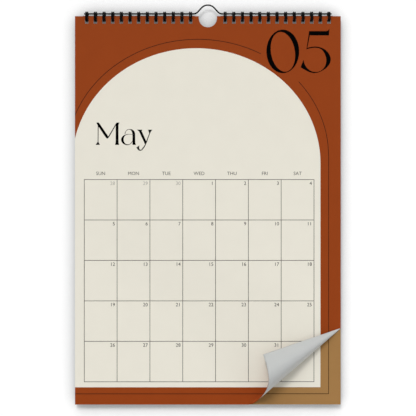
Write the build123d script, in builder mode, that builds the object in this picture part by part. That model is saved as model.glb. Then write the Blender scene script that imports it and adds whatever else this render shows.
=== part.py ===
"""Wire-bound wall calendar, open at a month page whose lower right corner curls up.

Origin: the underside of the hanger's bump, where the nail bears. +X runs to the
viewer's right, +Y into the wall and +Z up. All sizes are in millimetres.
"""

from build123d import *
from math import cos, radians, sin
import os

# Sheets
SHEET_WIDTH = 260
SHEET_HEIGHT = 380
SHEET_THICKNESS = 0.3
BLOCK_THICKNESS = 2.6
PAGE_GAP = 0.2
INK_THICKNESS = 0.05

# Twin-loop binding
LOOP_PITCH = 8.467
LOOPS_LEFT_OUT = 3
LOOP_EDGE_MARGIN = 10
RING_RADIUS = 4.4
RING_CHORDS = 9
RING_GAP_ANGLE = 24
LOOP_WIRE = 1.35
LOOP_WIRE_SIDES = 5
LOOP_LEG_SPACING = 1.65
HOLE_WIDTH = 3.6
HOLE_HEIGHT = 4.3
HOLE_CLEARANCE = 0.25
EDGE_ABOVE_RING_CENTRE = 0.3

# Hanger
HANGER_WIRE = 1.3
HANGER_WIRE_SIDES = 8
HANGER_CLEARANCE = 0.15
HANGER_OVERHANG = 1.5
BUMP_RISE = 8.9
BUMP_RADIUS = 8.5
BUMP_FOOT_RADIUS = 6
BUMP_SLOPE = 48

# Thumb cut under the hanger
THUMB_RADIUS = 8.9
THUMB_STRAIGHT = 1.9

# Printed fields. The panel keeps its margins to the sheet's edges and runs off the left
# one. The thin line lies outside the panel, with a break near its right side.
PANEL_RIGHT_MARGIN = 19.8
PANEL_LEFT_OVERRUN = 2.8
PANEL_TOP = 31.3
PANEL_ARCH_RISE = 112.5
PANEL_BOTTOM_MARGIN = 16.9
LINE_SIDE_GAP = 8.3
LINE_TOP_GAP = 9.0
LINE_BOTTOM_GAP = 6.7
LINE_WIDTH = 0.6
LINE_BREAK_FROM_PANEL_SIDE = 21.3
LINE_BREAK_LENGTH = 37.1
GRID_COLUMNS = 7
GRID_ROWS = 5
GRID_LEFT_MARGIN = 9.1
GRID_TOP = 159.8
GRID_RIGHT_GAP = 6.33
GRID_BOTTOM_GAP = 5.4
GRID_LINE = 0.5

# Curled corner. The sheet leaves the flat along a crease from the right edge to the
# bottom edge. Its own bottom edge then follows a Bezier curve, whose points are
# measured across, forward and up from the crease's lower end. The curl is seated just
# inside the faces of the flat part, so that the two join in one sheet.
CURL_RIGHT_LENGTH = 74.7
CURL_BOTTOM_LENGTH = 90.6
CURL_FOOT_PULL = 11.0
CURL_RISE = (15.0, 12.9, 17.7)
CURL_CREST = (24.5, 60.0, 21.2)
CURL_TIP = (14.0, 13.8, 50.6)
CURL_START = 3.5
CURL_SECTIONS = 17
CURL_SEAT = 0.04

# Levels that follow from the sizes above
rod_z = HANGER_WIRE / 2 - BUMP_RISE
ring_inner_radius = RING_RADIUS * cos(radians((360 - RING_GAP_ANGLE) / RING_CHORDS / 2)) - LOOP_WIRE / 2
ring_z = rod_z + HANGER_WIRE / 2 + HANGER_CLEARANCE - ring_inner_radius
top_z = ring_z + EDGE_ABOVE_RING_CENTRE
block_back = (BLOCK_THICKNESS + SHEET_THICKNESS) / 2
block_front = block_back - BLOCK_THICKNESS
front_back = block_front - 3 * INK_THICKNESS - PAGE_GAP
front_front = front_back - SHEET_THICKNESS
last_loop = int((SHEET_WIDTH / 2 - LOOP_EDGE_MARGIN) / LOOP_PITCH)
loop_indexes = range(LOOPS_LEFT_OUT // 2 + 1, last_loop + 1)
comb_centre = (loop_indexes[0] + loop_indexes[-1]) / 2 * LOOP_PITCH
hanger_half_length = loop_indexes[-1] * LOOP_PITCH + (LOOP_LEG_SPACING + LOOP_WIRE) / 2 + HANGER_OVERHANG

# The holes clear the ring where it is highest inside the stack of sheets
stack_reach = max(block_back, -front_front + 2 * INK_THICKNESS)
hole_top = -((ring_inner_radius**2 - stack_reach**2) ** 0.5) + HOLE_CLEARANCE + ring_z - top_z

# The printed fields' sizes, across from the sheet's middle and down from its top edge
panel_right = SHEET_WIDTH / 2 - PANEL_RIGHT_MARGIN
panel_left = -SHEET_WIDTH / 2 - PANEL_LEFT_OVERRUN
panel_bottom = SHEET_HEIGHT - PANEL_BOTTOM_MARGIN
grid_left = GRID_LEFT_MARGIN - SHEET_WIDTH / 2
grid_width = panel_right - GRID_RIGHT_GAP - grid_left
grid_height = panel_bottom - GRID_BOTTOM_GAP - GRID_TOP


def front_plane(y):
    """A plane that faces the viewer, with its origin at the sheet's top edge."""
    return Plane(origin=(0, y, top_z), x_dir=(1, 0, 0), z_dir=(0, -1, 0))


def arch(outset, top, rise, bottom):
    """An arched field with a straight foot, cut off at the sheet's left edge."""
    half_width = (panel_right - panel_left) / 2 + outset
    with BuildSketch() as field:
        with Locations(((panel_left + panel_right) / 2, -top - rise)):
            Ellipse(half_width, rise)
            Rectangle(2 * half_width, bottom - top - rise, align=(Align.CENTER, Align.MAX))
        Rectangle(SHEET_WIDTH, SHEET_HEIGHT, align=(Align.CENTER, Align.MAX), mode=Mode.INTERSECT)
    return field.sketch


# Flat shapes shared by the front sheet and the pages behind it
with BuildSketch() as page_face:
    Rectangle(SHEET_WIDTH, SHEET_HEIGHT, align=(Align.CENTER, Align.MAX))
    with Locations(*[(side * i * LOOP_PITCH, hole_top) for side in (-1, 1) for i in loop_indexes]):
        Rectangle(HOLE_WIDTH, HOLE_HEIGHT, align=(Align.CENTER, Align.MAX), mode=Mode.SUBTRACT)
    with Locations((0, -THUMB_STRAIGHT)):
        Circle(THUMB_RADIUS, mode=Mode.SUBTRACT)
    Rectangle(2 * THUMB_RADIUS, THUMB_STRAIGHT, align=(Align.CENTER, Align.MAX), mode=Mode.SUBTRACT)

with BuildSketch() as curled_corner:
    corner = (SHEET_WIDTH / 2, -SHEET_HEIGHT)
    crease_top = (corner[0], corner[1] + CURL_RIGHT_LENGTH)
    crease_foot = (corner[0] - CURL_BOTTOM_LENGTH, corner[1])
    Polygon(corner, crease_top, crease_foot, align=None)

with BuildSketch() as panel_face:
    add(arch(0, PANEL_TOP, PANEL_ARCH_RISE, panel_bottom))

with BuildSketch() as line_face:
    line_top = PANEL_TOP - LINE_TOP_GAP
    line_bottom = panel_bottom + LINE_BOTTOM_GAP
    add(arch(LINE_SIDE_GAP, line_top, PANEL_ARCH_RISE, line_bottom))
    add(
        arch(
            LINE_SIDE_GAP - LINE_WIDTH,
            line_top + LINE_WIDTH,
            PANEL_ARCH_RISE - LINE_WIDTH,
            line_bottom - LINE_WIDTH,
        ),
        mode=Mode.SUBTRACT,
    )

with BuildSketch() as grid_face:
    column = grid_width / GRID_COLUMNS
    row = grid_height / GRID_ROWS
    with Locations((grid_left + grid_width / 2, -GRID_TOP - grid_height / 2)):
        Rectangle(grid_width + GRID_LINE, grid_height + GRID_LINE)
        with GridLocations(column, row, GRID_COLUMNS, GRID_ROWS):
            Rectangle(column - GRID_LINE, row - GRID_LINE, mode=Mode.SUBTRACT)

# Twin-loop wire: each loop is one bent length, from a link at the spine round the
# ring, across the tip and back
with BuildPart() as loop:
    step = (360 - RING_GAP_ANGLE) / RING_CHORDS
    ring_angles = [radians(RING_GAP_ANGLE / 2 + i * step) for i in range(RING_CHORDS + 1)]
    ring = [(RING_RADIUS * cos(a), ring_z + RING_RADIUS * sin(a)) for a in ring_angles]
    leg_x = LOOP_LEG_SPACING / 2
    first_leg = [(-leg_x, y, z) for y, z in ring]
    second_leg = [(leg_x, y, z) for y, z in reversed(ring)]
    link_start = (-LOOP_PITCH / 2, *ring[0])
    link_end = (LOOP_PITCH / 2, *ring[0])
    with BuildLine() as loop_path:
        Polyline(link_start, *first_leg, *second_leg, link_end)
    with BuildSketch(Plane(origin=link_start, x_dir=(0, 1, 0), z_dir=(1, 0, 0))):
        RegularPolygon(LOOP_WIRE / 2, LOOP_WIRE_SIDES)
    sweep(path=loop_path.line, transition=Transition.RIGHT)

with BuildPart() as wire_loops_left:
    with Locations((-comb_centre, 0, 0)):
        with GridLocations(LOOP_PITCH, 1, len(loop_indexes), 1):
            add(loop.part)

with BuildPart() as wire_loops_right:
    with Locations((comb_centre, 0, 0)):
        with GridLocations(LOOP_PITCH, 1, len(loop_indexes), 1):
            add(loop.part)

# Hanger: one wire that runs through every loop and rises to a bump at the middle
with BuildPart() as hanger_wire:
    rod_plane = Plane(origin=(0, 0, rod_z), x_dir=(1, 0, 0), z_dir=(0, -1, 0))
    half_slope = radians(BUMP_SLOPE / 2)
    bump_corner = BUMP_RISE + BUMP_RADIUS * (1 / cos(2 * half_slope) - 1)
    foot_x = bump_corner * cos(2 * half_slope) / sin(2 * half_slope)
    with BuildLine(rod_plane) as hanger_path:
        FilletPolyline(
            (-hanger_half_length, 0),
            (-foot_x, 0),
            (0, bump_corner),
            (foot_x, 0),
            (hanger_half_length, 0),
            radius=(BUMP_FOOT_RADIUS, BUMP_RADIUS, BUMP_FOOT_RADIUS),
        )
    with BuildSketch(Plane(origin=hanger_path.line @ 0, z_dir=(1, 0, 0))):
        RegularPolygon(HANGER_WIRE / 2, HANGER_WIRE_SIDES)
    sweep(path=hanger_path.line)

# Pages behind the front sheet, as one block
with BuildPart() as page_block:
    with BuildSketch(front_plane(block_back)):
        add(page_face.sketch)
    extrude(amount=BLOCK_THICKNESS)

with BuildPart() as next_ground:
    with BuildSketch(front_plane(block_front)):
        add(page_face.sketch)
    extrude(amount=INK_THICKNESS)

with BuildPart() as next_panel:
    with BuildSketch(front_plane(block_front - INK_THICKNESS)):
        add(panel_face.sketch)
    extrude(amount=INK_THICKNESS)

with BuildPart() as next_arch_line:
    with BuildSketch(front_plane(block_front - INK_THICKNESS)):
        add(line_face.sketch)
    extrude(amount=INK_THICKNESS)

with BuildPart() as next_grid:
    with BuildSketch(front_plane(block_front - 2 * INK_THICKNESS)):
        add(grid_face.sketch)
    extrude(amount=INK_THICKNESS)

# Front sheet: the flat part, and the curled corner lofted through thin sections that
# all look towards the crease's upper end
with BuildPart() as front_sheet:
    with BuildSketch(front_plane(front_back)):
        add(page_face.sketch)
        add(curled_corner.sketch, mode=Mode.SUBTRACT)
    extrude(amount=SHEET_THICKNESS)

    apex = Vector(crease_top[0], front_back - SHEET_THICKNESS / 2, top_z + crease_top[1])
    curl_thickness = SHEET_THICKNESS - 2 * CURL_SEAT
    foot = Vector(crease_foot[0], apex.Y, top_z + crease_foot[1])
    curl_points = ((0, 0, CURL_SEAT), (CURL_FOOT_PULL, 0, CURL_SEAT), CURL_RISE, CURL_CREST, CURL_TIP)
    curl_edge = Bezier(*[foot + Vector(x, -forward, z) for x, forward, z in curl_points])
    for i in range(CURL_SECTIONS):
        share = i / (CURL_SECTIONS - 1)
        spoke = curl_edge.position_at(share, position_mode=PositionMode.PARAMETER) - apex
        along = spoke.normalized()
        heading = curl_edge.tangent_at(share, position_mode=PositionMode.PARAMETER)
        across = heading - along * heading.dot(along)
        with BuildSketch(Plane(origin=apex, x_dir=along, z_dir=across)):
            with Locations((CURL_START, 0)):
                Rectangle(spoke.length - CURL_START, curl_thickness, align=(Align.MIN, Align.CENTER))
    loft(ruled=True)

with BuildPart() as front_ground:
    with BuildSketch(front_plane(front_front)):
        add(page_face.sketch)
        add(curled_corner.sketch, mode=Mode.SUBTRACT)
    extrude(amount=INK_THICKNESS)

with BuildPart() as front_panel:
    with BuildSketch(front_plane(front_front - INK_THICKNESS)):
        add(panel_face.sketch)
        add(curled_corner.sketch, mode=Mode.SUBTRACT)
    extrude(amount=INK_THICKNESS)

with BuildPart() as front_arch_line:
    with BuildSketch(front_plane(front_front - INK_THICKNESS)):
        add(line_face.sketch)
        add(curled_corner.sketch, mode=Mode.SUBTRACT)
        with Locations((panel_right - LINE_BREAK_FROM_PANEL_SIDE, 0)):
            Rectangle(
                LINE_BREAK_LENGTH,
                PANEL_TOP + PANEL_ARCH_RISE,
                align=(Align.MAX, Align.MAX),
                mode=Mode.SUBTRACT,
            )
    extrude(amount=INK_THICKNESS)

with BuildPart() as front_grid:
    with BuildSketch(front_plane(front_front - 2 * INK_THICKNESS)):
        add(grid_face.sketch)
        add(curled_corner.sketch, mode=Mode.SUBTRACT)
    extrude(amount=INK_THICKNESS)

nodes = {
    "hanger_wire": hanger_wire,
    "wire_loops_left": wire_loops_left,
    "wire_loops_right": wire_loops_right,
    "page_block": page_block,
    "next_ground": next_ground,
    "next_panel": next_panel,
    "next_arch_line": next_arch_line,
    "next_grid": next_grid,
    "front_sheet": front_sheet,
    "front_ground": front_ground,
    "front_panel": front_panel,
    "front_arch_line": front_arch_line,
    "front_grid": front_grid,
}

os.makedirs("parts", exist_ok=True)
for name, piece in nodes.items():
    piece.part.label = name
    export_step(piece.part, f"parts/{name}.step")
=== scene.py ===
import math
import random

import bpy
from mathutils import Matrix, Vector


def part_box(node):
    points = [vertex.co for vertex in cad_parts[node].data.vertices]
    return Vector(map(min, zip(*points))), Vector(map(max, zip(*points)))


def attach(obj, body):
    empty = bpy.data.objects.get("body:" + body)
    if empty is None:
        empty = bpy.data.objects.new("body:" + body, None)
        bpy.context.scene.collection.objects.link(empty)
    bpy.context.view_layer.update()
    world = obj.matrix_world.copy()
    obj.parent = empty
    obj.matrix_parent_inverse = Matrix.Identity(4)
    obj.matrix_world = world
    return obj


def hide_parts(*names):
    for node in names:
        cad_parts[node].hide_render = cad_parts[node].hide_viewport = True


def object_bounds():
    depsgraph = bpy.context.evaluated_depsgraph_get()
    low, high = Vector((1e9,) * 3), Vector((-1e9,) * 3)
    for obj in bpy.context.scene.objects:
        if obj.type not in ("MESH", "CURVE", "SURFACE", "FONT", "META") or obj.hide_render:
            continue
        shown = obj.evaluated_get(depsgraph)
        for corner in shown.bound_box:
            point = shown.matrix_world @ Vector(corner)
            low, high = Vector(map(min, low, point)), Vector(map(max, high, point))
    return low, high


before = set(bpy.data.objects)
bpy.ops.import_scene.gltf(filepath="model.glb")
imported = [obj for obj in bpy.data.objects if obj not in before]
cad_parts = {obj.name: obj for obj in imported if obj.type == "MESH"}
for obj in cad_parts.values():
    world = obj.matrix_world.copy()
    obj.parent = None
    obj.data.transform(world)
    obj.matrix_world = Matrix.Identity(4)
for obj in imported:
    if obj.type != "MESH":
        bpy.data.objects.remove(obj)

cad_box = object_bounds()
MM = 0.001

# Sizes in millimetres, the same as in the CAD source
SHEET_WIDTH = 260.0
SHEET_HEIGHT = 380.0
SHEET_THICKNESS = 0.3
INK_THICKNESS = 0.05
LOOP_PITCH = 8.467
FIRST_LOOP = 2
LAST_LOOP = 14
RING_RADIUS = 4.4
RING_GAP_ANGLE = 24.0
EDGE_ABOVE_RING_CENTRE = 0.3
LOOP_WIRE = 1.35
LOOP_LEG_SPACING = 1.65
LOOP_TIP_SPACING = 1.38
HOLE_WIDTH = 3.6
HOLE_HEIGHT = 4.3
HOLE_TOP = 2.981
HANGER_WIRE = 1.3
HANGER_COAT = 0.08
HANGER_LIFT = 0.2
BUMP_RISE = 8.9
BUMP_RADIUS = 8.5
BUMP_FOOT_RADIUS = 6.0
BUMP_SLOPE = 48.0
HANGER_HALF_LENGTH = 121.5
THUMB_RADIUS = 8.9
THUMB_STRAIGHT = 1.9
CURL_RIGHT_LENGTH = 74.7
CURL_BOTTOM_LENGTH = 90.6
CURL_START = 1.2
PANEL_RIGHT = 110.2
PANEL_BOTTOM = 363.1
LINE_RIGHT = 118.5
LINE_BOTTOM = 369.8
LINE_WIDTH = 0.6
LINE_CENTRE_X = -9.96
LINE_TOP = 22.3
LINE_ARCH_RISE = 114.5
LINE_BREAK_START = 51.8
LINE_BREAK_END = 88.9
GRID_LEFT = -120.9
GRID_TOP = 159.8
GRID_COLUMN = 32.11
GRID_ROW = 39.58
GRID_COLUMNS = 7
GRID_ROWS = 5
GRID_LINE = 0.5

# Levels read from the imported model
sheet_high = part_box("front_sheet")[1]
TOP_Z = sheet_high.z / MM
FRONT_BACK = sheet_high.y / MM
FRONT_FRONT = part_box("front_ground")[1].y / MM
BLOCK_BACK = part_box("page_block")[1].y / MM
BLOCK_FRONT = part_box("next_ground")[1].y / MM
BOTTOM_Z = TOP_Z - SHEET_HEIGHT
RING_Z = TOP_Z - EDGE_ABOVE_RING_CENTRE
ROD_Z = HANGER_WIRE / 2 - BUMP_RISE + HANGER_LIFT
rng = random.Random(7)


# Materials
PRINT_TONE_SCALE = 55.0
FIBRE_SCALE = 1600.0
FIBRE_STRETCH = 2.6
GRAIN_SCALE = 420.0
GRAIN_SHARE = 0.6
PAPER_TOOTH = 0.00004
WIRE_BLACK = (0.002, 0.002, 0.0022, 1.0)
WIRE_TONE_SCALE = 240.0
WIRE_COAT_SCALE = 900.0
WIRE_COAT_RELIEF = 0.00002


def new_material(name):
    material = bpy.data.materials.new(name)
    material.use_nodes = True
    nodes = material.node_tree.nodes
    nodes.clear()
    output = nodes.new("ShaderNodeOutputMaterial")
    shader = nodes.new("ShaderNodeBsdfPrincipled")
    material.node_tree.links.new(shader.outputs["BSDF"], output.inputs["Surface"])
    return material, nodes, material.node_tree.links, shader


def srgb(r, g, b):
    """A linear colour with full alpha from screen values of 0 to 255."""
    def linear(c):
        c = c / 255
        return c / 12.92 if c <= 0.04045 else ((c + 0.055) / 1.055) ** 2.4
    return (linear(r), linear(g), linear(b), 1.0)


def shade(colour, factor):
    return tuple(min(1.0, c * factor) for c in colour[:3]) + (1.0,)


def math_node(nodes, links, operation, a, b=None, c=None):
    node = nodes.new("ShaderNodeMath")
    node.operation = operation
    for socket, value in zip(node.inputs, (a, b, c)):
        if value is None:
            continue
        if isinstance(value, (int, float)):
            socket.default_value = value
        else:
            links.new(value, socket)
    return node.outputs[0]


def seen_rays(nodes, links, rays):
    """1 for rays from the camera, also by way of gloss or glass, and 0 for rays that only carry light."""
    seen = math_node(nodes, links, "MAXIMUM", rays.outputs["Is Camera Ray"], rays.outputs["Is Glossy Ray"])
    return math_node(nodes, links, "MAXIMUM", seen, rays.outputs["Is Transmission Ray"])


def mottled(nodes, links, coordinates, colour, spread, scale, detail=3.0):
    """The colour with slow, slight changes of tone."""
    noise = nodes.new("ShaderNodeTexNoise")
    noise.inputs["Scale"].default_value = scale
    noise.inputs["Detail"].default_value = detail
    links.new(coordinates, noise.inputs["Vector"])
    ramp = nodes.new("ShaderNodeValToRGB")
    ramp.color_ramp.elements[0].position = 0.3
    ramp.color_ramp.elements[0].color = shade(colour, 1 - spread)
    ramp.color_ramp.elements[1].position = 0.7
    ramp.color_ramp.elements[1].color = shade(colour, 1 + spread)
    links.new(noise.outputs["Fac"], ramp.inputs["Fac"])
    return ramp.outputs["Color"]


def fibre_bump(nodes, links, coordinates, shader, strength):
    """Fine paper tooth: short fibres over a soft grain."""
    stretch = nodes.new("ShaderNodeMapping")
    stretch.inputs["Scale"].default_value = (1.0, 1.0, FIBRE_STRETCH)
    links.new(coordinates, stretch.inputs["Vector"])
    fibres = nodes.new("ShaderNodeTexNoise")
    fibres.inputs["Scale"].default_value = FIBRE_SCALE
    fibres.inputs["Detail"].default_value = 4.0
    fibres.inputs["Distortion"].default_value = 0.6
    links.new(stretch.outputs["Vector"], fibres.inputs["Vector"])
    grain = nodes.new("ShaderNodeTexNoise")
    grain.inputs["Scale"].default_value = GRAIN_SCALE
    grain.inputs["Detail"].default_value = 2.0
    links.new(coordinates, grain.inputs["Vector"])
    fine = fibres.outputs["Fac"]
    height = math_node(nodes, links, "MULTIPLY_ADD", grain.outputs["Fac"], GRAIN_SHARE, fine)
    bump = nodes.new("ShaderNodeBump")
    bump.inputs["Strength"].default_value = strength
    bump.inputs["Distance"].default_value = PAPER_TOOTH
    links.new(height, bump.inputs["Height"])
    links.new(bump.outputs["Normal"], shader.inputs["Normal"])


def print_material(name, colour, spread=0.02, roughness=0.6, strength=0.35, gloss=0.06, sheen=0.0):
    """Ink printed on uncoated card."""
    material, nodes, links, shader = new_material(name)
    where = nodes.new("ShaderNodeTexCoord")
    colour_out = mottled(nodes, links, where.outputs["Object"], colour, spread, PRINT_TONE_SCALE)
    links.new(colour_out, shader.inputs["Base Color"])
    shader.inputs["Roughness"].default_value = roughness
    shader.inputs["Specular IOR Level"].default_value = gloss
    shader.inputs["Sheen Weight"].default_value = sheen
    shader.inputs["Sheen Roughness"].default_value = 0.35
    fibre_bump(nodes, links, where.outputs["Object"], shader, strength)
    material.diffuse_color = colour
    return material


RUST = srgb(143, 62, 20)
CREAM = srgb(229, 225, 212)
OCHRE = srgb(157, 118, 71)
LINE = srgb(52, 22, 10)
GREY = srgb(46, 43, 38)
BLACK = srgb(3, 3, 3)
PALE = srgb(168, 165, 156)
WHITE = srgb(182, 184, 183)

rust_print = print_material("rust_print", RUST)
cream_print = print_material("cream_print", CREAM, spread=0.008)
ochre_print = print_material("ochre_print", OCHRE)
dark_print = print_material("dark_print", LINE, spread=0.05)
brown_print = print_material("brown_print", srgb(60, 38, 20), spread=0.05)
grey_print = print_material("grey_print", GREY, spread=0.04)
black_print = print_material("black_print", BLACK, spread=0.1, roughness=0.7, gloss=0.01)
small_print = print_material("small_print", srgb(60, 57, 52), spread=0.06)
pale_print = print_material("pale_print", PALE, spread=0.04)
white_card = print_material("white_card", WHITE, spread=0.012, strength=0.45, gloss=0.1, sheen=0.3)


def wire_material(name):
    """Black nylon-coated steel: a soft sheen with a slightly uneven coat."""
    material, nodes, links, shader = new_material(name)
    where = nodes.new("ShaderNodeTexCoord")
    colour = mottled(nodes, links, where.outputs["Object"], WIRE_BLACK, spread=0.3, scale=WIRE_TONE_SCALE)
    links.new(colour, shader.inputs["Base Color"])
    noise = nodes.new("ShaderNodeTexNoise")
    noise.inputs["Scale"].default_value = WIRE_COAT_SCALE
    noise.inputs["Detail"].default_value = 3.0
    links.new(where.outputs["Object"], noise.inputs["Vector"])
    rough = nodes.new("ShaderNodeMapRange")
    rough.inputs["To Min"].default_value = 0.34
    rough.inputs["To Max"].default_value = 0.5
    links.new(noise.outputs["Fac"], rough.inputs["Value"])
    links.new(rough.outputs["Result"], shader.inputs["Roughness"])
    bump = nodes.new("ShaderNodeBump")
    bump.inputs["Strength"].default_value = 0.25
    bump.inputs["Distance"].default_value = WIRE_COAT_RELIEF
    links.new(noise.outputs["Fac"], bump.inputs["Height"])
    links.new(bump.outputs["Normal"], shader.inputs["Normal"])
    shader.inputs["Specular IOR Level"].default_value = 0.05
    material.diffuse_color = (0.0055, 0.0055, 0.006, 1.0)
    return material


black_wire = wire_material("black_wire")


# Meshes

def add_mesh(name, verts, faces, materials, body, smooth=False):
    """A piece from points in millimetres, riding on a CAD body."""
    mesh = bpy.data.meshes.new(name)
    mesh.from_pydata([(x * MM, y * MM, z * MM) for x, y, z in verts], [], faces)
    for material in materials:
        mesh.materials.append(material)
    if smooth:
        mesh.polygons.foreach_set("use_smooth", [True] * len(mesh.polygons))
    mesh.update()
    piece = bpy.data.objects.new(name, mesh)
    bpy.context.scene.collection.objects.link(piece)
    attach(piece, body)
    return piece


def tube(path, radius, sides=12, rounded=False):
    """Rings of points round a path, with its ends closed or domed."""
    verts = []
    faces = []
    points = [Vector(p) for p in path]
    radii = [radius] * len(points)
    if rounded:
        dome = (0.15, 0.5, 0.9, 1.25)
        start = (points[1] - points[0]).normalized()
        end = (points[-1] - points[-2]).normalized()
        head = [points[0] + start * radius * (1 - math.cos(a)) for a in dome]
        tail = [points[-1] - end * radius * (1 - math.cos(a)) for a in dome[::-1]]
        ends = [radius * math.sin(a) for a in dome]
        points = head + [points[0] + start * radius] + points[1:-1] + [points[-1] - end * radius] + tail
        radii = ends + [radius] * (len(points) - 2 * len(dome)) + ends[::-1]
    normal = None
    for i, point in enumerate(points):
        before = points[max(i - 1, 0)]
        after = points[min(i + 1, len(points) - 1)]
        tangent = (after - before).normalized()
        if normal is None:
            normal = tangent.orthogonal().normalized()
        normal = (normal - tangent * normal.dot(tangent)).normalized()
        side = tangent.cross(normal)
        for k in range(sides):
            a = 2 * math.pi * k / sides
            verts.append(tuple(point + (normal * math.cos(a) + side * math.sin(a)) * radii[i]))
    for i in range(len(points) - 1):
        for k in range(sides):
            n = (k + 1) % sides
            faces.append((i * sides + k, i * sides + n, (i + 1) * sides + n, (i + 1) * sides + k))
    faces.append(tuple(range(sides))[::-1])
    faces.append(tuple(range((len(points) - 1) * sides, len(points) * sides)))
    return verts, faces


def arc(centre, radius, start, end, steps):
    """Points on a circle, angles in degrees."""
    angles = [math.radians(start + (end - start) * i / steps) for i in range(steps + 1)]
    return [(centre[0] + radius * math.cos(a), centre[1] + radius * math.sin(a)) for a in angles]


# Twin-loop wire. A loop is drawn unrolled, across and along the ring, then rolled up.
LINK_CORNER = 1.1
LEG_STEPS = 44
LEG_TAPER = 1.6


def loop_path(centre_x):
    """A loop's points: up one leg, round the closed tip, down the other, with half a link at each end."""
    leg = LOOP_LEG_SPACING / 2
    first = math.radians(RING_GAP_ANGLE / 2) * RING_RADIUS
    last = (2 * math.pi - math.radians(RING_GAP_ANGLE / 2)) * RING_RADIUS
    half = [(-LOOP_PITCH / 2, first)]
    half += arc((-leg - LINK_CORNER, first + LINK_CORNER), LINK_CORNER, -90, 0, steps=6)
    start = first + LINK_CORNER
    tip = LOOP_TIP_SPACING / 2
    end = last - tip
    for i in range(1, LEG_STEPS):
        t = i / LEG_STEPS
        half.append((-leg + (leg - tip) * min(1, LEG_TAPER * t), start + (end - start) * t))
    half += arc((0, end), tip, 180, 90, steps=6)
    flat = half + [(-x, s) for x, s in half[-2::-1]]
    path = []
    for x, s in flat:
        a = s / RING_RADIUS
        path.append((centre_x + x, RING_RADIUS * math.cos(a), RING_Z + RING_RADIUS * math.sin(a)))
    return path


def comb(name, side):
    """One bent wire that makes all the loops on one side of the thumb cut, from left to right."""
    loops = [loop_path(side * i * LOOP_PITCH) for i in range(FIRST_LOOP, LAST_LOOP + 1)]
    if side < 0:
        loops = loops[::-1]
    whole = loops[0]
    for loop in loops[1:]:
        whole = whole + loop[1:]
    verts, faces = tube(whole, LOOP_WIRE / 2, sides=10)
    return add_mesh(name, verts, faces, [black_wire], "calendar", smooth=True)


left_comb = comb("twin_loops_left", -1)
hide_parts("wire_loops_left")
right_comb = comb("twin_loops_right", 1)
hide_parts("wire_loops_right")


# Hanger

def fillet_path(corners, radii, steps=10):
    """A path through straight runs with rounded corners, all in one plane."""
    path = [Vector(corners[0])]
    for i in range(1, len(corners) - 1):
        here = Vector(corners[i])
        back = (Vector(corners[i - 1]) - here).normalized()
        ahead = (Vector(corners[i + 1]) - here).normalized()
        half = math.acos(max(-1.0, min(1.0, back.dot(ahead)))) / 2
        radius = radii[i - 1]
        reach = radius / math.tan(half)
        centre = here + (back + ahead).normalized() * (radius / math.sin(half))
        start = here + back * reach - centre
        end = here + ahead * reach - centre
        turn = math.acos(max(-1.0, min(1.0, start.normalized().dot(end.normalized()))))
        for k in range(steps + 1):
            t = k / steps
            blend = (start * math.sin((1 - t) * turn) + end * math.sin(t * turn)) / math.sin(turn)
            path.append(centre + blend)
    path.append(Vector(corners[-1]))
    return path


slope = math.radians(BUMP_SLOPE)
bump_corner = BUMP_RISE - HANGER_LIFT - HANGER_COAT + BUMP_RADIUS * (1 / math.cos(slope) - 1)
bump_foot = bump_corner / math.tan(slope)
hanger_corners = [
    (HANGER_COAT - HANGER_HALF_LENGTH, 0, ROD_Z),
    (-bump_foot, 0, ROD_Z),
    (0, 0, ROD_Z + bump_corner),
    (bump_foot, 0, ROD_Z),
    (HANGER_HALF_LENGTH - HANGER_COAT, 0, ROD_Z),
]
hanger_line = fillet_path(hanger_corners, (BUMP_FOOT_RADIUS, BUMP_RADIUS, BUMP_FOOT_RADIUS))
rod_verts, rod_faces = tube(hanger_line, HANGER_WIRE / 2 + HANGER_COAT, sides=20, rounded=True)
hanger = add_mesh("hanger_rod", rod_verts, rod_faces, [black_wire], "hanger", smooth=True)
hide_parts("hanger_wire")


# Flat shapes, filled from outlines across and down from the sheet's top edge

def curve_surface(name, curve):
    """The points and faces that a curve gives. The curve is removed."""
    holder = bpy.data.objects.new(name, curve)
    bpy.context.scene.collection.objects.link(holder)
    bpy.context.view_layer.update()
    graph = bpy.context.evaluated_depsgraph_get()
    mesh = bpy.data.meshes.new_from_object(holder.evaluated_get(graph))
    points = [tuple(v.co) for v in mesh.vertices]
    faces = [tuple(p.vertices) for p in mesh.polygons]
    bpy.data.objects.remove(holder)
    bpy.data.curves.remove(curve)
    bpy.data.meshes.remove(mesh)
    return points, faces


def flat_fill(name, outlines, y_front, thickness, resolution=12):
    """A thin solid as points and faces. An outline lists points, or Bezier points with a corner flag."""
    curve = bpy.data.curves.new(name, "CURVE")
    curve.dimensions = "2D"
    curve.fill_mode = "BOTH"
    curve.extrude = thickness / 2
    curve.resolution_u = resolution
    for outline in outlines:
        if len(outline[0]) == 3:
            spline = curve.splines.new("BEZIER")
            spline.bezier_points.add(len(outline) - 1)
            for point, (x, d, corner) in zip(spline.bezier_points, outline):
                point.co = (x, -d, 0)
                point.handle_left_type = "VECTOR" if corner else "AUTO"
                point.handle_right_type = "VECTOR" if corner else "AUTO"
        else:
            spline = curve.splines.new("POLY")
            spline.points.add(len(outline) - 1)
            for point, (x, d) in zip(spline.points, outline):
                point.co = (x, -d, 0, 1)
        spline.use_cyclic_u = True
    points, faces = curve_surface(name, curve)
    middle = y_front + thickness / 2
    return [(x, middle - z, TOP_Z + y) for x, y, z in points], faces


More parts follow.
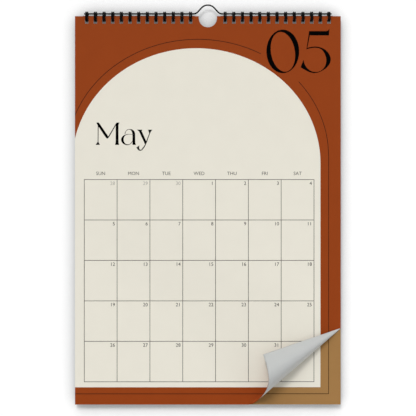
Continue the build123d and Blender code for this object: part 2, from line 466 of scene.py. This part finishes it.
def page_outlines(inset=(0, 0, 0, 0), curled=False):
    """The punched page: its outline with the thumb cut, and its holes."""
    left, right, top, bottom = inset
    half = SHEET_WIDTH / 2
    thumb = arc((0, THUMB_STRAIGHT), THUMB_RADIUS, 180, 0, steps=24)
    outline = [(-half + left, top), (-THUMB_RADIUS, top)] + thumb
    outline += [(THUMB_RADIUS, top), (half - right, top)]
    if curled:
        outline += [(half, SHEET_HEIGHT - CURL_RIGHT_LENGTH), (half - CURL_BOTTOM_LENGTH, SHEET_HEIGHT)]
        outline += [(-half, SHEET_HEIGHT)]
    else:
        outline += [(half - right, SHEET_HEIGHT - bottom), (-half + left, SHEET_HEIGHT - bottom)]
    holes = []
    for side in (-1, 1):
        for i in range(FIRST_LOOP, LAST_LOOP + 1):
            left_x = side * i * LOOP_PITCH - HOLE_WIDTH / 2
            right_x = side * i * LOOP_PITCH + HOLE_WIDTH / 2
            foot_d = HOLE_TOP + HOLE_HEIGHT
            holes.append([(left_x, HOLE_TOP), (right_x, HOLE_TOP), (right_x, foot_d), (left_x, foot_d)])
    return [outline] + holes


# Pages behind the front sheet, as eleven sheets in the thickness of the block
PAGES = 11
PAGE_CLEARANCE = 0.02
LEAST_INSET = 0.03
MOST_INSET = 0.32
step_y = (BLOCK_BACK - BLOCK_FRONT) / PAGES
for page in range(PAGES):
    if page == 0:
        inset = (0, 0, 0, 0)
    else:
        inset = tuple(rng.uniform(LEAST_INSET, MOST_INSET) for _ in range(4))
    page_y = BLOCK_FRONT + page * step_y
    page_name = f"page_{page + 2:02d}"
    page_verts, page_faces = flat_fill(page_name, page_outlines(inset), page_y, step_y - PAGE_CLEARANCE)
    sheet = add_mesh(page_name, page_verts, page_faces, [white_card], "calendar")
    if page == 0:
        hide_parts("page_block")


# Front sheet: the flat part and its curled corner

def bezier(points, t):
    """A place on the Bezier curve with these control points, at t from 0 to 1."""
    rows = [Vector(p) for p in points]
    while len(rows) > 1:
        rows = [a.lerp(b, t) for a, b in zip(rows, rows[1:])]
    return rows[0]


HEADING_STEP = 0.002

# The curled edge's Bezier points, to the right, forward and up from the crease's foot
curl_offsets = [(0, 0, 0), (11.0, 0, 0), (15.0, 12.9, 17.7), (24.5, 59.75, 21.2), (14.0, 13.8, 50.6)]
sheet_mid = FRONT_BACK - SHEET_THICKNESS / 2
apex = Vector((SHEET_WIDTH / 2, sheet_mid, BOTTOM_Z + CURL_RIGHT_LENGTH))
foot = Vector((SHEET_WIDTH / 2 - CURL_BOTTOM_LENGTH, sheet_mid, BOTTOM_Z))
curl_points = [foot + Vector((x, -y, z)) for x, y, z in curl_offsets]


def curl_mesh(around=112, along=30):
    """Points of the curl's printed side, then of its white side, with the page's flat coordinates."""
    edge = [bezier(curl_points, i / around) for i in range(around + 1)]
    run = [0.0]
    for a, b in zip(edge, edge[1:]):
        run.append(run[-1] + (b - a).length)
    spokes = [p - apex for p in edge]
    front = []
    back = []
    flat = []
    for i, spoke in enumerate(spokes):
        t = i / around
        ahead = bezier(curl_points, min(1.0, t + HEADING_STEP))
        heading = ahead - bezier(curl_points, max(0.0, t - HEADING_STEP))
        normal = spoke.cross(heading).normalized()
        if i == 0:
            flip = -1 if normal.y > 0 else 1
        elif normal.dot(last_normal) <= 0:
            normal = -normal
        last_normal = normal
        share = run[i] / run[-1]
        edge_x = SHEET_WIDTH / 2 - CURL_BOTTOM_LENGTH * (1 - share)
        first = CURL_START / spoke.length
        for k in range(along + 1):
            s = first + (1 - first) * k / along
            point = apex + spoke * s
            front.append(point + normal * flip * SHEET_THICKNESS / 2)
            back.append(point - normal * flip * SHEET_THICKNESS / 2)
            flat_x = SHEET_WIDTH / 2 + (edge_x - SHEET_WIDTH / 2) * s
            flat_d = SHEET_HEIGHT - CURL_RIGHT_LENGTH * (1 - s)
            flat.append((flat_x, flat_d))
    return front, back, flat, around, along


def build_front_sheet():
    """The front page as one mesh: the curl's two sides and its rims, then the flat part."""
    front, back, flat, around, along = curl_mesh()
    count = len(front)
    verts = [tuple(p) for p in front] + [tuple(p) for p in back]
    uv = flat + flat
    faces = []
    kinds = []
    row = along + 1
    for i in range(around):
        for k in range(along):
            a = i * row + k
            faces.append((a, a + 1, a + row + 1, a + row))
            kinds.append(1)
            faces.append((count + a, count + a + row, count + a + row + 1, count + a + 1))
            kinds.append(0)
    for i in range(around):
        a = i * row + along
        faces.append((a, count + a, count + a + row, a + row))
        kinds.append(1)
        b = i * row
        faces.append((b, b + row, count + b + row, count + b))
        kinds.append(0)
    for k in range(along):
        a = around * row + k
        faces.append((a, a + 1, count + a + 1, count + a))
        kinds.append(0)
    outlines = page_outlines(curled=True)
    flat_verts, flat_faces = flat_fill("front_flat", outlines, FRONT_FRONT, SHEET_THICKNESS)
    base = len(verts)
    verts += flat_verts
    uv += [(x, TOP_Z - z) for x, y, z in flat_verts]
    faces += [tuple(base + n for n in face) for face in flat_faces]
    kinds += [0] * len(flat_faces)
    materials = [white_card, printed_back]
    piece = add_mesh("front_page_sheet", verts, faces, materials, "front_page")
    mesh = piece.data
    for polygon, kind in zip(mesh.polygons, kinds):
        polygon.material_index = kind
        polygon.use_smooth = polygon.index < 2 * around * along
    layer = mesh.uv_layers.new(name="flat_page")
    for loop in mesh.loops:
        x, d = uv[loop.vertex_index]
        layer.data[loop.index].uv = (x * MM, d * MM)
    return piece


def printed_corner():
    """The page's print on the curled corner, drawn from the page's own flat coordinates."""
    material, nodes, links, shader = new_material("printed_corner")
    page = nodes.new("ShaderNodeUVMap")
    page.uv_map = "flat_page"
    split = nodes.new("ShaderNodeSeparateXYZ")
    links.new(page.outputs["UV"], split.inputs["Vector"])
    x = split.outputs["X"]
    d = split.outputs["Y"]

    def below(value, limit):
        return math_node(nodes, links, "LESS_THAN", value, limit * MM)

    def both(a, b):
        return math_node(nodes, links, "MULTIPLY", a, b)

    def near(value, middle, width):
        return math_node(nodes, links, "COMPARE", value, middle * MM, width / 2 * MM)

    def either(a, b):
        return math_node(nodes, links, "MAXIMUM", a, b)

    def layered(under, over_colour, mask):
        mix = nodes.new("ShaderNodeMix")
        mix.data_type = "RGBA"
        links.new(mask, mix.inputs["Factor"])
        links.new(under, mix.inputs["A"])
        mix.inputs["B"].default_value = over_colour
        return mix.outputs["Result"]

    where = nodes.new("ShaderNodeTexCoord")
    rust = mottled(nodes, links, where.outputs["Object"], RUST, spread=0.02, scale=PRINT_TONE_SCALE)
    panel = both(below(x, PANEL_RIGHT), below(d, PANEL_BOTTOM))
    colour = layered(rust, CREAM, panel)
    side_line = both(near(x, LINE_RIGHT - LINE_WIDTH / 2, LINE_WIDTH), below(d, LINE_BOTTOM))
    foot_line = both(near(d, LINE_BOTTOM - LINE_WIDTH / 2, LINE_WIDTH), below(x, LINE_RIGHT))
    colour = layered(colour, LINE, either(side_line, foot_line))
    grid_right = GRID_LEFT + GRID_COLUMNS * GRID_COLUMN
    grid_bottom = GRID_TOP + GRID_ROWS * GRID_ROW
    rules = near(x, grid_right, GRID_LINE)
    rules = either(rules, near(x, grid_right - GRID_COLUMN, GRID_LINE))
    rules = either(rules, near(x, grid_right - 2 * GRID_COLUMN, GRID_LINE))
    rules = both(rules, below(d, grid_bottom + GRID_LINE / 2))
    level = near(d, grid_bottom, GRID_LINE)
    level = either(level, near(d, grid_bottom - GRID_ROW, GRID_LINE))
    level = both(level, below(x, grid_right + GRID_LINE / 2))
    colour = layered(colour, GREY, either(rules, level))
    links.new(colour, shader.inputs["Base Color"])
    shader.inputs["Roughness"].default_value = 0.55
    shader.inputs["Specular IOR Level"].default_value = 0.06
    fibre_bump(nodes, links, where.outputs["Object"], shader, strength=0.35)
    return material


printed_back = printed_corner()
front_sheet = build_front_sheet()
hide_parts("front_sheet")


# Print that stays on the CAD's own thin layers
node_prints = {
    "front_ground": rust_print,
    "front_panel": cream_print,
    "front_grid": grey_print,
    "next_ground": ochre_print,
    "next_panel": cream_print,
    "next_arch_line": brown_print,
    "next_grid": grey_print,
}
for node, material in node_prints.items():
    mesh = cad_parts[node].data
    mesh.materials.clear()
    mesh.materials.append(material)


# Numerals and generic calendar words, as thin layers of ink
ADDED_INK = 0.03
front_ink_y = FRONT_FRONT - 2 * INK_THICKNESS - ADDED_INK
next_ink_y = BLOCK_FRONT - 2 * INK_THICKNESS - ADDED_INK


def joined(parts):
    """Many pairs of points and faces as one pair."""
    verts = []
    faces = []
    for more_verts, more_faces in parts:
        base = len(verts)
        verts += more_verts
        faces += [tuple(base + n for n in face) for face in more_faces]
    return verts, faces


def add_print(name, groups, material, y_front, body):
    """A layer of ink. Each group is an outline with the outlines of its holes."""
    verts, faces = joined(flat_fill(name, group, y_front, ADDED_INK) for group in groups)
    return add_mesh(name, verts, faces, [material], body)


def ellipse(x, d, half_width, half_height, lean=0.0, steps=72):
    """A closed oval whose lower part leans to the right."""
    points = []
    for i in range(steps):
        a = 2 * math.pi * i / steps
        down = half_height * math.sin(a)
        points.append((x + half_width * math.cos(a) + lean * down, d + down))
    return points


# Thin line outside the panel: an arch with a break, a right side and a foot, up to the crease

def line_arch(start_x, end_x, inset, steps):
    """Points along the line's arch, which is half an ellipse."""
    half_width = LINE_RIGHT - LINE_CENTRE_X - inset
    rise = LINE_ARCH_RISE - inset
    points = []
    for i in range(steps + 1):
        x = start_x + (end_x - start_x) * i / steps
        share = max(-1.0, min(1.0, (x - LINE_CENTRE_X) / half_width))
        points.append((x, LINE_TOP + LINE_ARCH_RISE - rise * math.sqrt(1 - share * share)))
    return points


def crease_d(x):
    """How far down the crease is at a place across."""
    return SHEET_HEIGHT - CURL_RIGHT_LENGTH + (SHEET_WIDTH / 2 - x) * CURL_RIGHT_LENGTH / CURL_BOTTOM_LENGTH


def crease_x(d):
    """How far across the crease is at a place down the page."""
    return SHEET_WIDTH / 2 - (d - SHEET_HEIGHT + CURL_RIGHT_LENGTH) * CURL_BOTTOM_LENGTH / CURL_RIGHT_LENGTH


half = SHEET_WIDTH / 2
inner_right = LINE_RIGHT - LINE_WIDTH
left_arch = line_arch(-half, LINE_BREAK_START, inset=0, steps=60)
left_arch += line_arch(LINE_BREAK_START, -half, inset=LINE_WIDTH, steps=60)
right_arch = line_arch(LINE_BREAK_END, LINE_RIGHT, inset=0, steps=40)
right_arch += [(LINE_RIGHT, crease_d(LINE_RIGHT)), (inner_right, crease_d(inner_right))]
right_arch += line_arch(inner_right, LINE_BREAK_END, inset=LINE_WIDTH, steps=40)
foot_top = LINE_BOTTOM - LINE_WIDTH
line_foot = [(-half, foot_top), (crease_x(foot_top), foot_top)]
line_foot += [(crease_x(LINE_BOTTOM), LINE_BOTTOM), (-half, LINE_BOTTOM)]
line_y = FRONT_FRONT - INK_THICKNESS - ADDED_INK
line_parts = [[left_arch], [right_arch], [line_foot]]
arch_line = add_print("thin_arch_line", line_parts, dark_print, line_y, "front_page")
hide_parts("front_arch_line")


# Large month number: a nought and a five with thick and thin strokes
nought_rim = ellipse(73.32, 34.42, 16.0, 21.25)
nought_eye = ellipse(73.43, 34.85, 11.8, 19.5, lean=0.11)
FIVE_X = 99.1
FIVE_D = 14.6
five_points = [
    (0.0, 0.0, True), (8.0, 0.0, True), (15.6, 0.0, True), (18.2, -0.45, False), (19.9, -2.4, True),
    (19.3, 4.15, True), (0.6, 4.15, True), (-1.75, 16.4, True), (3.3, 15.3, False),
    (6.6, 15.1, False), (11.6, 16.1, False), (16.5, 18.95, False), (20.1, 23.6, False),
    (21.05, 27.3, False), (20.4, 31.2, False), (17.1, 35.6, False), (11.6, 39.3, False),
    (6.0, 41.0, False), (0.6, 40.1, False), (-3.7, 38.1, False), (-8.3, 35.4, True),
    (-5.5, 28.1, True), (-3.8, 33.5, False), (0.3, 38.1, False), (4.9, 39.85, False),
    (10.5, 39.2, False), (14.5, 35.9, False), (16.5, 31.6, False), (16.7, 27.2, False),
    (15.5, 22.7, False), (12.1, 18.0, False), (7.7, 16.4, False), (3.3, 16.4, False),
    (-2.6, 17.7, True),
]
five = [[(FIVE_X + x, FIVE_D + d, corner) for x, d, corner in five_points]]
digits = [[nought_rim, nought_eye], five]
add_print("month_number", digits, black_print, front_ink_y, "front_page")

# Month name, drawn in strokes with strong contrast
NAME_X = -121.47
NAME_D = 93.68
NAME_UNIT = 0.055


def name_outline(points):
    """Points in millimetres from points on the name's own drawing grid."""
    return [(NAME_X + x * NAME_UNIT, NAME_D + d * NAME_UNIT, corner) for x, d, corner in points]


big_m = [
    (225, 192, True), (262, 189, False), (281, 206, True), (437, 435, True), (561, 226, True),
    (583, 189, True), (635, 189, True), (619, 228, True), (619, 544, True), (632, 586, True),
    (555, 586, True), (569, 544, True), (569, 241, True), (430, 470, False), (414, 472, False),
    (264, 262, True), (262, 533, True), (288, 586, True), (210, 586, True), (249, 533, True),
    (251, 241, True),
]
small_a = [
    (728, 392, True), (740, 352, False), (776, 314, False), (826, 305, False), (876, 320, False),
    (909, 364, False), (917, 430, True), (917, 545, True), (930, 586, True), (868, 586, True),
    (868, 530, True), (838, 566, False), (788, 589, False), (728, 580, False), (680, 540, False),
    (666, 488, False), (692, 434, False), (742, 402, False), (800, 394, False), (866, 398, True),
    (860, 362, False), (838, 326, False), (812, 314, False), (780, 322, False), (750, 352, False),
    (740, 390, True),
]
small_a_eye = [
    (868, 404, True), (800, 401, False), (750, 414, False), (718, 448, False), (712, 504, False),
    (736, 556, False), (780, 576, False), (828, 562, False), (868, 512, True),
]
small_y = [
    (946, 316, True), (1044, 316, True), (1032, 340, True), (1112, 520, True), (1166, 380, True),
    (1146, 316, True), (1218, 316, True), (1183, 374, True), (1118, 552, True), (1066, 648, False),
    (1010, 690, False), (968, 674, False), (938, 633, True), (992, 594, True), (986, 642, False),
    (1010, 672, False), (1052, 636, False), (1091, 576, True), (984, 344, True),
]
month_name = [
    [name_outline(big_m)],
    [name_outline(small_a), name_outline(small_a_eye)],
    [name_outline(small_y)],
]
add_print("month_name", month_name, black_print, front_ink_y, "front_page")


# Weekday names and day numbers in the plain built-in letters
CAPITAL_SHARE = 0.7
WEEKDAY_HEIGHT = 3.3
WEEKDAY_D = 155.4
DAY_HEIGHT = 3.4
DAY_DROP = 5.3
DAY_SIDE_GAP = 2.0


def letters(text, height, x, d, align, y_front):
    """Built-in letters as points and faces, of a given capital height."""
    curve = bpy.data.curves.new("letters", "FONT")
    curve.body = text
    curve.align_x = align
    curve.size = height / CAPITAL_SHARE
    curve.extrude = ADDED_INK / 2
    curve.resolution_u = 3
    points, faces = curve_surface("letters", curve)
    middle = y_front + ADDED_INK / 2
    return [(x + across, middle - out, TOP_Z - d + up) for across, up, out in points], faces


def add_letters(name, items, height, align, material, y_front, body, slot):
    """A layer of ink from items, each a text with its place across and down."""
    verts, faces = joined(letters(text, height, x, d, align, y_front) for text, x, d in items)
    add_mesh(name, verts, faces, [material], body)


def cell_right(column):
    """Where a day number ends, across."""
    return GRID_LEFT + (column + 1) * GRID_COLUMN - DAY_SIDE_GAP


def day_items(first_column, first_day, last_day):
    """Day numbers at the upper right of their cells, row after row."""
    items = []
    for place, day in enumerate(range(first_day, last_day + 1), first_column):
        row, column = divmod(place, GRID_COLUMNS)
        items.append((str(day), cell_right(column), GRID_TOP + row * GRID_ROW + DAY_DROP))
    return items


weekdays = ["SUN", "MON", "TUE", "WED", "THU", "FRI", "SAT"]
weekday_items = [(day, GRID_LEFT + (i + 0.5) * GRID_COLUMN, WEEKDAY_D) for i, day in enumerate(weekdays)]
before = day_items(0, 28, 30)
days = day_items(3, 1, 31)
next_before = day_items(0, 26, 31)
next_days = day_items(6, 1, 29)
front = (front_ink_y, "front_page")
behind = (next_ink_y, "calendar")
add_letters("weekday_names", weekday_items, WEEKDAY_HEIGHT, "CENTER", small_print, *front, "dark_ink")
add_letters("days_before", before, DAY_HEIGHT, "RIGHT", pale_print, *front, "grey_ink")
add_letters("day_numbers", days, DAY_HEIGHT, "RIGHT", black_print, *front, "dark_ink")
add_letters("next_days_before", next_before, DAY_HEIGHT, "RIGHT", pale_print, *behind, "grey_ink")
add_letters("next_day_numbers", next_days, DAY_HEIGHT, "RIGHT", black_print, *behind, "dark_ink")
add_letters("next_weekday_names", weekday_items, WEEKDAY_HEIGHT, "CENTER", small_print, *behind, "dark_ink")


# Wall and floor
# Painted shade: how far the wall's colour darkens near the calendar, in metres
PAINTED_SHADE_REACH = 0.016
WALL_TONE = (0.94, 0.94, 0.94, 1.0)
FLOOR_TONE = (0.45, 0.45, 0.45, 1.0)
WALL_GAP = 0.002
WALL_TOP = 2.5
STAGE_HALF_WIDTH = 3
FLOOR_Z = -1.1
FLOOR_FRONT = -4


def stage_material(name, colour, glow, painted_shade=0.0, lets_light_by=False):
    """A pale matt surface that shows white to the camera and keeps the shadow; near other surfaces its
    colour can be darkened into painted shade.
    """
    material, nodes, links, shader = new_material(name)
    output = nodes["Material Output"]
    shader.inputs["Roughness"].default_value = 0.9
    shader.inputs["Specular IOR Level"].default_value = 0.0
    where = nodes.new("ShaderNodeTexCoord")
    tone = mottled(nodes, links, where.outputs["Object"], colour, spread=0.003, scale=6.0)
    # Painted shade: an occlusion node darkens the colour near other surfaces
    near = nodes.new("ShaderNodeAmbientOcclusion")
    near.samples = 8
    near.inputs["Distance"].default_value = PAINTED_SHADE_REACH
    painted_shade_mix = nodes.new("ShaderNodeMix")
    painted_shade_mix.data_type = "RGBA"
    painted_shade_mix.blend_type = "MULTIPLY"
    painted_shade_mix.inputs["Factor"].default_value = painted_shade
    links.new(tone, painted_shade_mix.inputs["A"])
    links.new(near.outputs["Color"], painted_shade_mix.inputs["B"])
    links.new(painted_shade_mix.outputs["Result"], shader.inputs["Base Color"])
    light = nodes.new("ShaderNodeEmission")
    light.inputs["Color"].default_value = (1.0, 1.0, 1.0, 1.0)
    rays = nodes.new("ShaderNodeLightPath")
    strength = math_node(nodes, links, "MULTIPLY", seen_rays(nodes, links, rays), glow)
    links.new(strength, light.inputs["Strength"])
    both = nodes.new("ShaderNodeAddShader")
    links.new(shader.outputs["BSDF"], both.inputs[0])
    links.new(light.outputs["Emission"], both.inputs[1])
    behind = nodes.new("ShaderNodeBsdfTransparent")
    side = nodes.new("ShaderNodeNewGeometry")
    choose = nodes.new("ShaderNodeMixShader")
    unseen = side.outputs["Backfacing"]
    if lets_light_by:
        unseen = math_node(nodes, links, "MAXIMUM", unseen, rays.outputs["Is Shadow Ray"])
        unseen = math_node(nodes, links, "MAXIMUM", unseen, rays.outputs["Is Diffuse Ray"])
    links.new(unseen, choose.inputs["Fac"])
    links.new(both.outputs["Shader"], choose.inputs[1])
    links.new(behind.outputs["BSDF"], choose.inputs[2])
    links.new(choose.outputs["Shader"], output.inputs["Surface"])
    return material


def stage_plane(name, corners, material):
    """A flat stage piece with four corners, in metres."""
    mesh = bpy.data.meshes.new(name)
    mesh.from_pydata(corners, [], [(0, 1, 2, 3)])
    mesh.materials.append(material)
    mesh.update()
    plane = bpy.data.objects.new(name, mesh)
    bpy.context.scene.collection.objects.link(plane)


wall_y = cad_box[1].y + WALL_GAP
# The wall's colour is darkened into painted shade round the calendar
wall_paint = stage_material("wall_paint", WALL_TONE, glow=0.1, painted_shade=1.0, lets_light_by=True)
floor_paint = stage_material("floor_paint", FLOOR_TONE, glow=0.65)
wall_foot = [(-STAGE_HALF_WIDTH, wall_y, FLOOR_Z), (STAGE_HALF_WIDTH, wall_y, FLOOR_Z)]
wall_head = [(STAGE_HALF_WIDTH, wall_y, WALL_TOP), (-STAGE_HALF_WIDTH, wall_y, WALL_TOP)]
floor_edge = [(-STAGE_HALF_WIDTH, FLOOR_FRONT, FLOOR_Z), (STAGE_HALF_WIDTH, FLOOR_FRONT, FLOOR_Z)]
stage_plane("wall", wall_foot + wall_head, wall_paint)
stage_plane("floor", floor_edge + wall_foot[::-1], floor_paint)


# Lights
FILL_STRENGTH = 0.52
BACKDROP_STRENGTH = 1.0


def sun_light(name, towards, strength, spread):
    """A distant lamp in the direction `towards`, as seen from the object; spread in degrees softens it."""
    light = bpy.data.lights.new(name, "SUN")
    light.energy = strength
    light.angle = math.radians(spread)
    lamp = bpy.data.objects.new(name, light)
    lamp.rotation_euler = Vector(towards).to_track_quat("Z", "Y").to_euler()
    lamp.location = Vector(towards).normalized() * 2
    bpy.context.scene.collection.objects.link(lamp)


def area_light(name, place, target, size, watts):
    """A round lamp at a place in metres, turned to a target and not seen by the camera itself."""
    light = bpy.data.lights.new(name, "AREA")
    light.shape = "DISK"
    light.size = size
    light.energy = watts
    lamp = bpy.data.objects.new(name, light)
    lamp.location = place
    lamp.rotation_euler = (Vector(target) - Vector(place)).to_track_quat("-Z", "Y").to_euler()
    lamp.visible_camera = False
    bpy.context.scene.collection.objects.link(lamp)


sun_light("key_light", towards=(-0.1, -0.55, 0.83), strength=0.7, spread=40.0)
sun_light("fold_light", towards=(-0.15, -0.84, 0.52), strength=1.4, spread=17.0)
area_light("rim_light", place=(0.72, -0.1, -0.99), target=(0.09, -0.02, -0.35), size=0.2, watts=2.4)

world = bpy.data.worlds.new("studio")
bpy.context.scene.world = world
world.use_nodes = True
world_nodes = world.node_tree.nodes
world_links = world.node_tree.links
world_nodes.clear()
world_out = world_nodes.new("ShaderNodeOutputWorld")
fill = world_nodes.new("ShaderNodeBackground")
fill.inputs["Color"].default_value = (1.0, 1.0, 1.0, 1.0)
fill.inputs["Strength"].default_value = FILL_STRENGTH
backdrop = world_nodes.new("ShaderNodeBackground")
backdrop.inputs["Color"].default_value = (1.0, 1.0, 1.0, 1.0)
backdrop.inputs["Strength"].default_value = BACKDROP_STRENGTH
seen = seen_rays(world_nodes, world_links, world_nodes.new("ShaderNodeLightPath"))
choose = world_nodes.new("ShaderNodeMixShader")
world_links.new(seen, choose.inputs["Fac"])
world_links.new(fill.outputs["Background"], choose.inputs[1])
world_links.new(backdrop.outputs["Background"], choose.inputs[2])
world_links.new(choose.outputs["Shader"], world_out.inputs["Surface"])


# Camera, with the sheet's top edge as the level that the picture's middle is measured from
SENSOR = 36.0
CAMERA_DISTANCE = 1200.0
PICTURE_WIDTH = 407.7
PICTURE_MIDDLE_X = 0.15
PICTURE_MIDDLE_D = 187.66
camera_data = bpy.data.cameras.new("camera")
camera_data.sensor_width = SENSOR
camera_data.lens = SENSOR * CAMERA_DISTANCE / PICTURE_WIDTH
camera_data.clip_start = 0.01
camera_data.clip_end = 20.0
camera = bpy.data.objects.new("camera", camera_data)
camera.location = (PICTURE_MIDDLE_X * MM, -CAMERA_DISTANCE * MM, (TOP_Z - PICTURE_MIDDLE_D) * MM)
camera.rotation_euler = (math.pi / 2, 0, 0)
bpy.context.scene.collection.objects.link(camera)
bpy.context.scene.camera = camera
bpy.context.scene.view_settings.view_transform = "Standard"


# Bring the scene up to date
bpy.context.view_layer.update()
